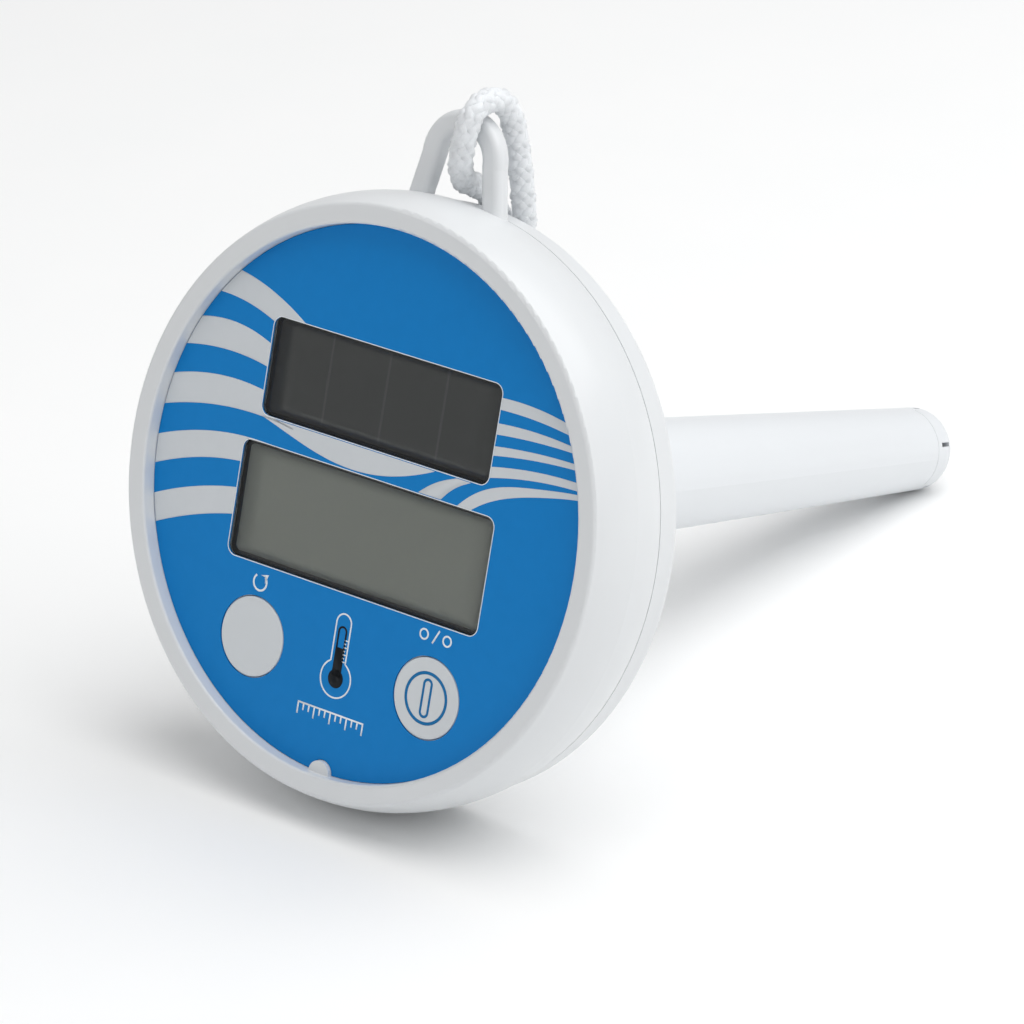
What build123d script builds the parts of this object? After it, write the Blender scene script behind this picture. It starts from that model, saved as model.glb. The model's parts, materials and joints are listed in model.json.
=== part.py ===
from build123d import *
from math import acos, atan2, cos, degrees, hypot, pi, radians, sin, tan
import os

# A floating pool thermometer lying on a table, as it rests after it is taken out of the water.
# Row frame: +Z up from the table, +Y from the face towards the probe's tip, +X to the right of a
# person who reads the face.  The origin is on the table, under the middle of the rigid object.
# Millimetres throughout.  Heights are counted from the printed face: lip above it, probe below it.

# ---------------------------------------------------------------- head, outside
head_radius = 52.6              # widest part of the side wall
widest_height = -6.4            # where the side wall is widest
lip_height = 2.7                # top of the lip round the face
lip_inner_radius = 47.1         # bore of the lip, which the label drops into
lip_flat_radius = 50.1          # outer edge of the lip's flat top
lip_outer_round = 0.8           # round between the flat top and the side wall
lip_inner_round = 0.5           # round on the inner edge of the flat top
seam_height = -14.3             # where the front housing ends
seam_radius = 51.3              # outside radius at the seam
seam_gap = 0.15                 # groove that shows as the seam line
wall_inner_radius = 49.2        # inside of the front housing's wall
back_height = -20.4             # flat back of the head
rear_wall = 2.2                 # thickness of the rear shell's back
rear_lip_radius = 51.0          # outside radius just before the rear round
rear_round = 2.0                # round between the side and the back

# ---------------------------------------------------------------- probe
probe_tip_radius = 7.9
tip_round = 5.0                 # round at the very end of the tip
tip_height = -169.0             # end of the probe
cap_seam_height = -161.5        # where the tip cap meets the tube
cap_seam_gap = 0.08
upper_bore_radius = 7.6
lower_bore_radius = 5.9
bore_step_height = -110.0
neck_radius = 9.9               # threaded neck that passes through the rear shell
probe_shoulder = 2.1            # step of the tube that seats on the rear shell
probe_base_radius = neck_radius + probe_shoulder
neck_clearance = 0.1
neck_top_height = -13.4
nut_thickness = 4.2
nut_wall = 3.5                  # from the neck to the nut's corners
nut_chamfer = 0.8
thread_gap = 0.05

# ---------------------------------------------------------------- tether eye
eye_outer_radius = 8.5
eye_bar_width = 4.0
eye_centre_up = 58.8            # from the middle of the face to the middle of the eye's round top
eye_foot_up = 49.5              # the feet are rooted in the side wall
eye_splay = 1.9                 # how much wider the eye stands at its feet, on each side
eye_front_height = -10.7
eye_depth = 3.5
eye_edge_round = 1.2

# ---------------------------------------------------------------- face
label_gap = 0.1
label_thickness = 0.4
panel_thickness = 2.2
notch_radius = 2.2              # half-round key of the lip that locates the label
notch_height = 0.8

display_centre = (0.0, -5.5)
display_cutout = (55.6, 20.5)   # opening in the label over the display
display_border = 0.8            # black surround seen inside the opening
solar_centre = (0.0, 18.1)
solar_cutout = (50.3, 17.3)
solar_border = 0.6
window_corner = 1.8
window_thickness = 1.2
window_margin = 1.0             # how far a window reaches under the label on each side
window_fit = 0.05
window_ledge = 0.8              # ledge in the panel that a window rests on
gasket_thickness = 1.4

key_centres = {"reset": (-19.5, -28.4), "unit": (19.5, -28.4)}
key_radius = 6.95
key_fit = 0.1
key_flange_radius = 8.2
key_flange_thickness = 1.1
key_flange_gap = 0.05
key_post_radius = 2.5
key_seal_section = 0.5
key_seal_height = -1.2
key_edge_round = 0.25
plunger_radius = 1.7
plunger_rise = 0.7
plunger_length = 2.2
plunger_fit = 0.05
switch_size = 6.2
switch_height = 3.5
switch_bore_depth = 2.5

# ---------------------------------------------------------------- inside the head
glass_size = (60.0, 26.0)
glass_thickness = 2.8
cell_plate_size = (54.0, 20.0)
cell_plate_thickness = 1.5
board_height = -8.6             # top of the main board
board_thickness = 1.6
board_radius = 41.0
board_upper_edge = 9.0
board_screw_places = [(-35.5, 2.0), (35.5, 2.0), (-35.0, -12.0), (35.0, -12.0)]
board_boss_radius = 2.6
board_screw_radius = 0.85
board_screw_head_radius = 1.9
board_screw_head = 1.3
board_screw_length = 3.6
screw_clearance = 0.2
screw_cross_length = 3.2
screw_cross_width = 0.8
screw_cross_depth = 1.1
component_round = 0.3
strip_width = 2.0
strip_length = 52.0
strip_inset = 1.6               # from the glass edge to the contact strip
chip_size = (9.0, 9.0, 1.4)
chip_place = (9.0, -13.0)
crystal_size = (8.0, 3.0, 2.4)
crystal_place = (-10.0, -13.0)
small_part_size = (3.2, 1.6, 1.0)
small_part_places = [(-6.0, -26.5), (0.0, -26.5), (6.0, -26.5), (-6.0, -31.0), (0.0, -31.0), (6.0, -31.0)]
solar_lead_radius = 0.4
solar_lead_places = [(-5.0, 8.5), (5.0, 8.5)]

case_screw_places = [(-34.4, 24.1), (34.4, 24.1), (-34.4, -24.1), (34.4, -24.1)]
case_boss_radius = 3.4
case_boss_end = -12.0
case_boss_gap = 0.1
case_screw_radius = 1.4
case_screw_head_radius = 2.7
case_screw_head = 2.0
case_screw_sink = 2.4
case_screw_tip = -6.0
pilot_clearance = 0.05
board_notch_clearance = 0.6

tongue_inner_radius = 47.0
tongue_clearance = 0.1
tongue_top_height = -11.5
main_seal_height = -12.9
main_seal_section = 0.6
main_seal_squeeze_gap = 0.05
seal_gap = 0.03                 # free space round each of the other seals
probe_seal_offset = 1.1         # from the neck to the middle of its seal
probe_seal_radius = neck_radius + probe_seal_offset
probe_seal_section = 0.5

# ---------------------------------------------------------------- backup cell and its cap
cell_place = (0.0, -32.0)
coin_cell_radius = 10.0
coin_cell_thickness = 3.2
coin_cell_height = -14.3
chamber_bore_radius = 10.5
chamber_outer_radius = 14.4
chamber_floor_height = -12.4
chamber_floor = 1.2
cap_radius = 13.4
cap_clearance = 0.1
cap_thickness = 1.2
cap_face_gap = 0.05
cap_lip = 0.6                   # wall between the cap's seat and the lug groove
lug_groove = 1.0
lug_thickness = 0.8
lug_radius = 11.5
lug_groove_radius = 11.65
lug_width = 5.0
lug_entry_clearance = 0.3
coin_slot = (14.0, 1.6, 0.8)
cap_seal_radius = 12.5
cap_seal_section = 0.35
contact_strip = (6.0, 4.0, 0.5)
contact_pin_radius = 0.6
contact_offset = 4.0
coin_cell_round = 0.5
blade_thickness = 0.3
blade_width = 2.4
blade_gap = 0.05
blade_drop = 2.2
lug_float = 0.1
cap_arrow_depth = 0.4
cap_arrow_inset = 3.4
cap_arrow_radius = 1.3

# ---------------------------------------------------------------- sensing end
cap_wall = 1.6
cap_spigot_length = 5.0
cap_spigot_clearance = 0.05
bulkhead = 2.4
water_slot_width = 0.8
water_slot_top = -162.8
water_slot_bottom = -165.6
water_slots = 5
slot_start = -52.0              # angle of the first slot on the face
sleeve_radius = 2.2
sleeve_wall = 0.4
sleeve_top = -155.0
sleeve_end = -166.4
sleeve_fit = 0.04
sleeve_end_round = 1.2
bead_radius = 1.5
bead_round = 0.9
bead_rest = 0.3
bead_length = 4.0
tip_seal_section = 0.5
ballast_radius = 5.8
ballast_bore_radius = 2.0
ballast_top = -114.0
ballast_bottom = -150.0
lead_radius = 1.1
lead_bend = 2.2
lead_turn_height = -15.5
lead_rise = 4.5
lead_drop = 0.1
lead_gap = 0.1
socket_size = (6.0, 8.0, 3.0)
socket_place = (16.0, -0.5)

# ---------------------------------------------------------------- tether rope
rope_diameter = 4.2
knot_centre = (1.8, -35.2, 83.4)
knot_radius = 5.6
end_knot_centre = (-43.0, -2.7, 4.9)
end_knot_radius = 4.8
loop_points = [
    (2.8, -36.8, 85.4),
    (1.4, -35.3, 89.8),
    (0.0, -36.0, 95.2),
    (-1.0, -39.3, 100.5),
    (-0.4, -44.6, 102.9),
    (1.6, -48.0, 107.5),
    (2.8, -47.8, 112.8),
    (3.3, -46.7, 116.5),
    (3.8, -43.3, 118.3),
    (4.3, -39.6, 117.2),
    (4.8, -37.7, 113.8),
    (5.2, -36.9, 107.7),
    (5.4, -36.1, 100.0),
    (5.0, -35.4, 92.3),
    (3.6, -36.2, 86.2),
]
tail_points = [
    (0.6, -34.6, 81.0),
    (-3.8, -32.4, 71.0),
    (-9.6, -29.2, 59.6),
    (-15.4, -25.4, 47.2),
    (-19.2, -20.6, 33.0),
    (-20.6, -15.8, 20.0),
    (-19.6, -9.2, 9.8),
    (-17.6, 0.8, 3.6),
]
end_points = [
    (-47.4, 22.7, 2.2),
    (-52.4, 22.5, 2.2),
    (-59.6, 15.4, 2.2),
    (-59.7, 5.1, 2.3),
    (-52.5, -2.3, 2.9),
    (-46.6, -2.6, 3.9),
]
coil_centre = (-47.0, 2.6)
coil_radius = 25.0              # middle of the turns
coil_width = 14.2
coil_height = 4.4
coil_corner = 2.0


# ================================================================= where the object lies
# Its back rim and the round end of its tip both touch the table, and that sets the tilt.
rear_round_centre = (rear_lip_radius - rear_round, back_height + rear_round)
tip_round_centre = (probe_tip_radius - tip_round, tip_height + tip_round)
across = rear_round_centre[0] - tip_round_centre[0]
along = rear_round_centre[1] - tip_round_centre[1]
tilt = acos((tip_round - rear_round) / hypot(across, along)) - atan2(along, across)
face_up = rear_round_centre[0] * cos(tilt) - rear_round_centre[1] * sin(tilt) + rear_round
tip_reach = tip_round_centre[0] * sin(tilt) - tip_round_centre[1] * cos(tilt) + tip_round
lip_round_centre = (lip_flat_radius, lip_height - lip_outer_round)
lip_reach = lip_round_centre[0] * sin(tilt) + lip_round_centre[1] * cos(tilt) + lip_outer_round
face = Plane(
    origin=(0, (lip_reach - tip_reach) / 2, face_up),
    x_dir=(1, 0, 0),
    z_dir=(0, -cos(tilt), sin(tilt)),
)
section = Plane(origin=face.origin, x_dir=face.x_dir, z_dir=-face.y_dir)
probe_axis = Axis(face.origin, face.z_dir)


# ================================================================= shared shapes
def level(height):
    """The plane parallel to the face at this height."""
    return face.offset(height)


def columns(places, radius, top, bottom, mode=Mode.ADD):
    """Round columns between two heights, at places on the face."""
    with BuildSketch(level(top)) as outline:
        with Locations(*places):
            Circle(radius)
    extrude(outline.sketch, amount=bottom - top, mode=mode)


def slabs(places, size, top, bottom, corner=0.0, turn=0.0, mode=Mode.ADD):
    """Rectangular slabs between two heights, with round corners where a corner radius is given."""
    with BuildSketch(level(top)) as outline:
        with Locations(*places):
            if corner > 0:
                RectangleRounded(size[0], size[1], corner, rotation=turn)
            else:
                Rectangle(size[0], size[1], rotation=turn)
    extrude(outline.sketch, amount=bottom - top, mode=mode)


def turned(points, mode=Mode.ADD):
    """A shape turned about the probe's axis, from (radius, height) corners."""
    with BuildSketch(section) as outline:
        with BuildLine():
            Polyline(*points, close=True)
        make_face()
    revolve(outline.sketch, axis=probe_axis, mode=mode)


def seal_ring(place, ring_radius, section_radius, height):
    """A round-section ring that lies parallel to the face."""
    centre = level(height).from_local_coords((place[0], place[1], 0))
    cut = Plane(origin=centre, x_dir=face.x_dir, z_dir=-face.y_dir)
    with BuildSketch(cut) as outline:
        with Locations((ring_radius, 0)):
            Circle(section_radius)
    revolve(outline.sketch, axis=Axis(centre, face.z_dir))


def rope_tube(points):
    """A rope along straight runs joined by arcs as large as the runs allow, with its radii printed."""
    radii = []
    for before, corner, after in zip(points, points[1:], points[2:]):
        first = Vector(*corner) - Vector(*before)
        second = Vector(*after) - Vector(*corner)
        half_turn = radians(first.get_angle(second)) / 2
        radii.append(0.45 * min(first.length, second.length) / tan(half_turn))
    with BuildLine() as path:
        FilletPolyline(*points, radius=radii)
    start = Plane(origin=path.line @ 0, z_dir=path.line % 0)
    with BuildSketch(start) as cut:
        Circle(rope_diameter / 2)
    sweep(cut.sketch, path=path.line)
    print("rope radii", [round(radius, 1) for radius in radii])
    rope_length = sum(edge.length for edge in path.edges())
    print("rope length", round(rope_length, 1), "volume", round(rope_length * pi * rope_diameter**2 / 4, 1))


def grown(cutout, margin):
    """A cut-out's size, grown by a margin on each side."""
    return (cutout[0] + 2 * margin, cutout[1] + 2 * margin)


def probe_radius(height):
    """Outside radius of the tapered probe at a height."""
    down = (height - back_height) / (tip_round_centre[1] - back_height)
    return probe_base_radius + (probe_tip_radius - probe_base_radius) * down


def finish(piece, name):
    """Label a piece and write its file."""
    piece.part.label = name
    export_step(piece.part, f"parts/{name}.step")


os.makedirs("parts", exist_ok=True)

# heights and places that follow from the sizes above
panel_top = -label_thickness
panel_bottom = panel_top - panel_thickness
window_bottom = panel_top - window_thickness
gasket_bottom = window_bottom - gasket_thickness
rear_inside = back_height + rear_wall
board_bottom = board_height - board_thickness
main_seal_centre = wall_inner_radius - main_seal_squeeze_gap - main_seal_section
cap_seat = back_height + cap_thickness
lug_groove_top = cap_seat + cap_lip + lug_groove
tip_seal_height = cap_seam_height + cap_spigot_length / 2
bead_top = sleeve_end + sleeve_wall + bead_rest + bead_length
plunger_top = board_height + switch_height + plunger_rise
contact_pin_place = (cell_place[0] - contact_offset, cell_place[1])
blade_place = (cell_place[0] + coin_cell_radius + blade_gap + blade_thickness / 2, cell_place[1])
blade_bottom = coin_cell_height - blade_drop
lead_run_height = board_bottom - socket_size[2] / 2 - lead_drop

# ================================================================= front housing
side_rise = hypot(head_radius - lip_round_centre[0], widest_height - lip_round_centre[1])
side_arc = (side_rise**2 - lip_outer_round**2) / (2 * (head_radius - lip_round_centre[0] - lip_outer_round))
side_arc_centre = (head_radius - side_arc, widest_height)
side_turn = atan2(lip_round_centre[1] - side_arc_centre[1], lip_round_centre[0] - side_arc_centre[0])
seam_drop = widest_height - seam_height
rear_arc = (seam_drop**2 + (head_radius - seam_radius) ** 2) / (2 * (head_radius - seam_radius))
rear_turn = degrees(atan2(seam_drop, rear_arc - (head_radius - seam_radius)))

with BuildPart() as tether_eye:
    foot = eye_outer_radius + eye_splay
    with BuildSketch(level(eye_front_height)):
        with BuildLine():
            Line((foot, eye_foot_up), (eye_outer_radius, eye_centre_up))
            CenterArc((0, eye_centre_up), eye_outer_radius, 0, 180)
            Line((-eye_outer_radius, eye_centre_up), (-foot, eye_foot_up))
            Line((-foot, eye_foot_up), (foot, eye_foot_up))
        make_face()
        with BuildLine():
            Line((foot - eye_bar_width, eye_foot_up), (eye_outer_radius - eye_bar_width, eye_centre_up))
            CenterArc((0, eye_centre_up), eye_outer_radius - eye_bar_width, 0, 180)
            Line((eye_bar_width - eye_outer_radius, eye_centre_up), (eye_bar_width - foot, eye_foot_up))
            Line((eye_bar_width - foot, eye_foot_up), (foot - eye_bar_width, eye_foot_up))
        make_face(mode=Mode.SUBTRACT)
    extrude(amount=-eye_depth)
    flat_sides = tether_eye.faces().sort_by(probe_axis)
    fillet(flat_sides[0].edges() + flat_sides[-1].edges(), eye_edge_round)

with BuildPart() as front_housing:
    with BuildSketch(section):
        with BuildLine():
            inner_edge = (lip_inner_radius + lip_inner_round, lip_height - lip_inner_round)
            lip_edge = CenterArc(inner_edge, lip_inner_round, 180, -90)
            Line(lip_edge @ 1, (lip_flat_radius, lip_height))
            CenterArc(lip_round_centre, lip_outer_round, 90, degrees(side_turn) - 90)
            CenterArc(side_arc_centre, side_arc, degrees(side_turn), -degrees(side_turn))
            wall = CenterArc((head_radius - rear_arc, widest_height), rear_arc, 0, -rear_turn)
            Polyline(
                wall @ 1,
                (wall_inner_radius, seam_height),
                (wall_inner_radius, panel_bottom),
                (0, panel_bottom),
                (0, panel_top),
                (lip_inner_radius, panel_top),
                lip_edge @ 0,
            )
        make_face()
    revolve(axis=probe_axis)
    columns([(0, -lip_inner_radius)], notch_radius, notch_height, panel_top)
    add(tether_eye.part)
    columns(board_screw_places, board_boss_radius, panel_bottom, board_height)
    columns(case_screw_places, case_boss_radius, panel_bottom, case_boss_end)
    board_pilot = board_screw_radius + pilot_clearance
    columns(board_screw_places, board_pilot, panel_bottom, board_height, Mode.SUBTRACT)
    case_pilot = case_screw_radius + pilot_clearance
    columns(case_screw_places, case_pilot, case_screw_tip + screw_clearance, case_boss_end, Mode.SUBTRACT)
    for centre, cutout in ((display_centre, display_cutout), (solar_centre, solar_cutout)):
        seat = grown(cutout, window_margin + window_fit)
        opening = grown(cutout, window_margin - window_ledge)
        slabs([centre], seat, panel_top, window_bottom, window_corner, mode=Mode.SUBTRACT)
        slabs([centre], opening, window_bottom, panel_bottom, window_corner, mode=Mode.SUBTRACT)
    columns(key_centres.values(), key_radius + key_fit, panel_top, panel_bottom, Mode.SUBTRACT)
finish(front_housing, "front_housing")


# ================================================================= rear shell
with BuildPart() as rear_shell:
    with BuildSketch(section):
        with BuildLine():
            corner = CenterArc(rear_round_centre, rear_round, 0, -90)
            tongue_radius = wall_inner_radius - tongue_clearance
            groove_radius = main_seal_centre - main_seal_section - main_seal_squeeze_gap
            Polyline(
                corner @ 1,
                (neck_radius + neck_clearance, back_height),
                (neck_radius + neck_clearance, rear_inside),
                (tongue_inner_radius, rear_inside),
                (tongue_inner_radius, tongue_top_height),
                (tongue_radius, tongue_top_height),
                (tongue_radius, main_seal_height + main_seal_section + main_seal_squeeze_gap),
                (groove_radius, main_seal_height + main_seal_section + main_seal_squeeze_gap),
                (groove_radius, main_seal_height - main_seal_section - main_seal_squeeze_gap),
                (tongue_radius, main_seal_height - main_seal_section - main_seal_squeeze_gap),
                (tongue_radius, seam_height - seam_gap),
                (seam_radius, seam_height - seam_gap),
                corner @ 0,
            )
        make_face()
    revolve(axis=probe_axis)
    rear_boss_top = case_boss_end - case_boss_gap
    columns(case_screw_places, case_boss_radius, rear_boss_top, rear_inside)
    columns([cell_place], chamber_outer_radius, chamber_floor_height, rear_inside)
    case_clearance = case_screw_radius + screw_clearance
    columns(case_screw_places, case_clearance, rear_boss_top, back_height, Mode.SUBTRACT)
    sink_floor = back_height + case_screw_sink
    sink_radius = case_screw_head_radius + screw_clearance
    columns(case_screw_places, sink_radius, sink_floor, back_height, Mode.SUBTRACT)
    chamber_top = chamber_floor_height - chamber_floor
    columns([cell_place], chamber_bore_radius, chamber_top, back_height, Mode.SUBTRACT)
    columns([cell_place], cap_radius + cap_clearance, cap_seat, back_height, Mode.SUBTRACT)
    columns([cell_place], lug_groove_radius, lug_groove_top, cap_seat + cap_lip, Mode.SUBTRACT)
    with BuildSketch(level(cap_seat + cap_lip)) as entries:
        with Locations(cell_place):
            Circle(lug_groove_radius)
            Rectangle(2 * lug_groove_radius, lug_width + lug_entry_clearance, mode=Mode.INTERSECT)
    extrude(entries.sketch, amount=-cap_lip, mode=Mode.SUBTRACT)
    pin_hole = contact_pin_radius + screw_clearance
    columns([contact_pin_place], pin_hole, chamber_floor_height, chamber_top, Mode.SUBTRACT)
    blade_slot = (blade_thickness + 2 * screw_clearance, blade_width + 2 * screw_clearance)
    slabs([blade_place], blade_slot, chamber_floor_height, chamber_top, mode=Mode.SUBTRACT)
finish(rear_shell, "rear_shell")

with BuildPart() as main_seal:
    seal_ring((0, 0), main_seal_centre, main_seal_section, main_seal_height)
finish(main_seal, "main_seal")


# ================================================================= probe
with BuildPart() as probe_tube:
    turned(
        [
            (upper_bore_radius, neck_top_height),
            (neck_radius, neck_top_height),
            (neck_radius, back_height),
            (probe_base_radius, back_height),
            (probe_radius(cap_seam_height), cap_seam_height),
            (lower_bore_radius, cap_seam_height),
            (lower_bore_radius, bore_step_height),
            (upper_bore_radius, bore_step_height),
        ]
    )
    groove_in = probe_seal_radius - probe_seal_section
    groove_out = probe_seal_radius + probe_seal_section
    groove_floor = back_height - 2 * probe_seal_section
    turned(
        [(groove_in, back_height), (groove_out, back_height), (groove_out, groove_floor), (groove_in, groove_floor)],
        Mode.SUBTRACT,
    )
finish(probe_tube, "probe_tube")

with BuildPart() as probe_seal:
    seal_ring((0, 0), probe_seal_radius, probe_seal_section - seal_gap, back_height - probe_seal_section)
finish(probe_seal, "probe_seal")

with BuildPart() as probe_nut:
    with BuildSketch(level(rear_inside + nut_thickness)):
        RegularPolygon(neck_radius + nut_wall, 6)
        Circle(neck_radius + thread_gap, mode=Mode.SUBTRACT)
    extrude(amount=-nut_thickness)
    chamfer(probe_nut.faces().sort_by(probe_axis)[-1].outer_wire().edges(), nut_chamfer)
finish(probe_nut, "probe_nut")

with BuildPart() as tip_cap:
    cap_top = cap_seam_height - cap_seam_gap
    spigot_radius = lower_bore_radius - cap_spigot_clearance
    spigot_top = cap_seam_height + cap_spigot_length
    inner_round = tip_round - cap_wall
    with BuildSketch(section):
        with BuildLine():
            nose = CenterArc(tip_round_centre, tip_round, 0, -90)
            hollow = CenterArc(tip_round_centre, inner_round, -90, 90)
            Polyline(
                nose @ 1,
                (0, tip_height),
                (0, tip_height + cap_wall),
                hollow @ 0,
            )
            Polyline(
                hollow @ 1,
                (tip_round_centre[0] + inner_round, cap_top - bulkhead),
                (sleeve_radius + sleeve_fit, cap_top - bulkhead),
                (sleeve_radius + sleeve_fit, spigot_top),
                (spigot_radius, spigot_top),
                (spigot_radius, cap_top),
                (probe_radius(cap_top), cap_top),
                nose @ 0,
            )
        make_face()
    revolve(axis=probe_axis)
    for turn in range(water_slots):
        outward = slot_start + 360 / water_slots * turn
        middle = probe_tip_radius - cap_wall / 2
        place = (middle * cos(radians(outward)), middle * sin(radians(outward)))
        slot = (2 * cap_wall + 1, water_slot_width)
        slabs([place], slot, water_slot_top, water_slot_bottom, turn=outward, mode=Mode.SUBTRACT)
    seal_floor = spigot_radius - 2 * tip_seal_section
    seal_up = tip_seal_height + tip_seal_section
    seal_down = tip_seal_height - tip_seal_section
    turned(
        [(seal_floor, seal_up), (spigot_radius, seal_up), (spigot_radius, seal_down), (seal_floor, seal_down)],
        Mode.SUBTRACT,
    )
finish(tip_cap, "tip_cap")

with BuildPart() as tip_seal:
    seal_ring((0, 0), lower_bore_radius - tip_seal_section, tip_seal_section - seal_gap, tip_seal_height)
finish(tip_seal, "tip_seal")

with BuildPart() as sensor_sleeve:
    columns([(0, 0)], sleeve_radius, sleeve_top, sleeve_end)
    fillet(sensor_sleeve.faces().sort_by(probe_axis)[0].edges(), sleeve_end_round)
    columns([(0, 0)], sleeve_radius - sleeve_wall, sleeve_top, sleeve_end + sleeve_wall, Mode.SUBTRACT)
finish(sensor_sleeve, "sensor_sleeve")

with BuildPart() as sensor_bead:
    columns([(0, 0)], bead_radius, bead_top, sleeve_end + sleeve_wall + bead_rest)
    fillet(sensor_bead.edges(), bead_round)
finish(sensor_bead, "sensor_bead")

with BuildPart() as ballast:
    columns([(0, 0)], ballast_radius, ballast_top, ballast_bottom)
    columns([(0, 0)], ballast_bore_radius, ballast_top, ballast_bottom, Mode.SUBTRACT)
finish(ballast, "ballast")

with BuildPart() as sensor_lead:
    route = [
        (0, 0, bead_top),
        (0, 0, lead_turn_height),
        (lead_rise, socket_place[1] / 2, lead_run_height),
        (socket_place[0] - socket_size[0] / 2 - lead_gap, socket_place[1], lead_run_height),
    ]
    with BuildLine() as lead_path:
        FilletPolyline(*[face.from_local_coords(point) for point in route], radius=lead_bend)
    with BuildSketch(Plane(origin=lead_path.line @ 0, z_dir=lead_path.line % 0)):
        Circle(lead_radius)
    sweep(path=lead_path.line)
finish(sensor_lead, "sensor_lead")


# ================================================================= face
with BuildPart() as face_label:
    columns([(0, 0)], lip_inner_radius - label_gap, 0, panel_top)
    columns([(0, -lip_inner_radius)], notch_radius + label_gap, 0, panel_top, Mode.SUBTRACT)
    slabs([display_centre], display_cutout, 0, panel_top, window_corner, mode=Mode.SUBTRACT)
    slabs([solar_centre], solar_cutout, 0, panel_top, window_corner, mode=Mode.SUBTRACT)
    columns(key_centres.values(), key_radius + key_fit + label_gap, 0, panel_top, Mode.SUBTRACT)
finish(face_label, "face_label")

windows = {
    "display": (display_centre, display_cutout, display_border),
    "solar": (solar_centre, solar_cutout, solar_border),
}
for name, (centre, cutout, border) in windows.items():
    with BuildPart() as window:
        slabs([centre], grown(cutout, window_margin), panel_top, window_bottom, window_corner)
    finish(window, name + "_window")
    with BuildPart() as gasket:
        outside = grown(cutout, window_margin - window_ledge - window_fit)
        slabs([centre], outside, window_bottom, gasket_bottom, window_corner)
        inside = grown(cutout, -border)
        slabs([centre], inside, window_bottom, gasket_bottom, window_corner - border, mode=Mode.SUBTRACT)
    finish(gasket, name + "_gasket")

with BuildPart() as display_glass:
    slabs([display_centre], glass_size, gasket_bottom, gasket_bottom - glass_thickness)
finish(display_glass, "display_glass")

with BuildPart() as contact_strips:
    reach = glass_size[1] / 2 - strip_inset
    strip_places = [(0, display_centre[1] - reach), (0, display_centre[1] + reach)]
    slabs(strip_places, (strip_length, strip_width), gasket_bottom - glass_thickness, board_height)
finish(contact_strips, "contact_strips")

with BuildPart() as solar_cell:
    slabs([solar_centre], cell_plate_size, gasket_bottom, gasket_bottom - cell_plate_thickness)
finish(solar_cell, "solar_cell")

with BuildPart() as solar_leads:
    columns(solar_lead_places, solar_lead_radius, gasket_bottom - cell_plate_thickness, board_height)
finish(solar_leads, "solar_leads")


# ================================================================= keys and their switches
for name, centre in key_centres.items():
    flange_top = panel_bottom - key_flange_gap
    flange_bottom = flange_top - key_flange_thickness
    with BuildPart() as key:
        columns([centre], key_radius, 0, flange_top)
        fillet(key.faces().sort_by(probe_axis)[-1].edges(), key_edge_round)
        columns([centre], key_flange_radius, flange_top, flange_bottom)
        columns([centre], key_post_radius, flange_bottom, plunger_top)
        seal_up = key_seal_height + key_seal_section
        seal_down = key_seal_height - key_seal_section
        with BuildSketch(level(seal_up)) as groove:
            with Locations(centre):
                Circle(key_radius)
                Circle(key_radius - 2 * key_seal_section + seal_gap, mode=Mode.SUBTRACT)
        extrude(groove.sketch, amount=seal_down - seal_up, mode=Mode.SUBTRACT)
    finish(key, name + "_key")
    with BuildPart() as key_seal:
        seal_ring(centre, key_radius + seal_gap - key_seal_section, key_seal_section - seal_gap, key_seal_height)
    finish(key_seal, name + "_key_seal")
    with BuildPart() as plunger:
        columns([centre], plunger_radius, plunger_top, plunger_top - plunger_length)
    finish(plunger, name + "_plunger")
    with BuildPart() as switch:
        switch_top = board_height + switch_height
        slabs([centre], (switch_size, switch_size), switch_top, board_height)
        bore = plunger_radius + plunger_fit
        columns([centre], bore, switch_top, switch_top - switch_bore_depth, Mode.SUBTRACT)
    finish(switch, name + "_switch")


# ================================================================= main board
with BuildPart() as main_board:
    with BuildSketch(level(board_height)) as board_outline:
        Circle(board_radius)
        with Locations((0, board_upper_edge - board_radius)):
            Rectangle(2 * board_radius, 2 * board_radius, mode=Mode.INTERSECT)
        with Locations(*case_screw_places):
            Circle(case_boss_radius + board_notch_clearance, mode=Mode.SUBTRACT)
        with Locations(*board_screw_places):
            Circle(board_screw_radius + screw_clearance, mode=Mode.SUBTRACT)
    extrude(amount=-board_thickness)
finish(main_board, "main_board")

with BuildPart() as board_screws:
    columns(board_screw_places, board_screw_radius, board_bottom + board_screw_length, board_bottom)
    columns(board_screw_places, board_screw_head_radius, board_bottom, board_bottom - board_screw_head)
finish(board_screws, "board_screws")

for name, place, size in (
    ("controller_chip", chip_place, chip_size),
    ("timing_crystal", crystal_place, crystal_size),
):
    with BuildPart() as component:
        slabs([place], size[:2], board_bottom, board_bottom - size[2])
        fillet(component.faces().sort_by(probe_axis)[0].edges(), component_round)
    finish(component, name)

with BuildPart() as board_parts:
    slabs(small_part_places, small_part_size[:2], board_height + small_part_size[2], board_height)
finish(board_parts, "board_parts")

with BuildPart() as lead_socket:
    slabs([socket_place], socket_size[:2], board_bottom, board_bottom - socket_size[2])
finish(lead_socket, "lead_socket")

with BuildPart() as case_screws:
    columns(case_screw_places, case_screw_radius, case_screw_tip, sink_floor)
    columns(case_screw_places, case_screw_head_radius, sink_floor, sink_floor - case_screw_head)
    for turn in (0, 90):
        cross = (screw_cross_length, screw_cross_width)
        cross_floor = sink_floor - case_screw_head + screw_cross_depth
        slabs(case_screw_places, cross, cross_floor, sink_floor - case_screw_head, turn=turn, mode=Mode.SUBTRACT)
finish(case_screws, "case_screws")


# ================================================================= backup cell and its cap
with BuildPart() as coin_cell:
    columns([cell_place], coin_cell_radius, coin_cell_height, coin_cell_height - coin_cell_thickness)
    fillet(coin_cell.edges(), coin_cell_round)
finish(coin_cell, "coin_cell")

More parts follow.
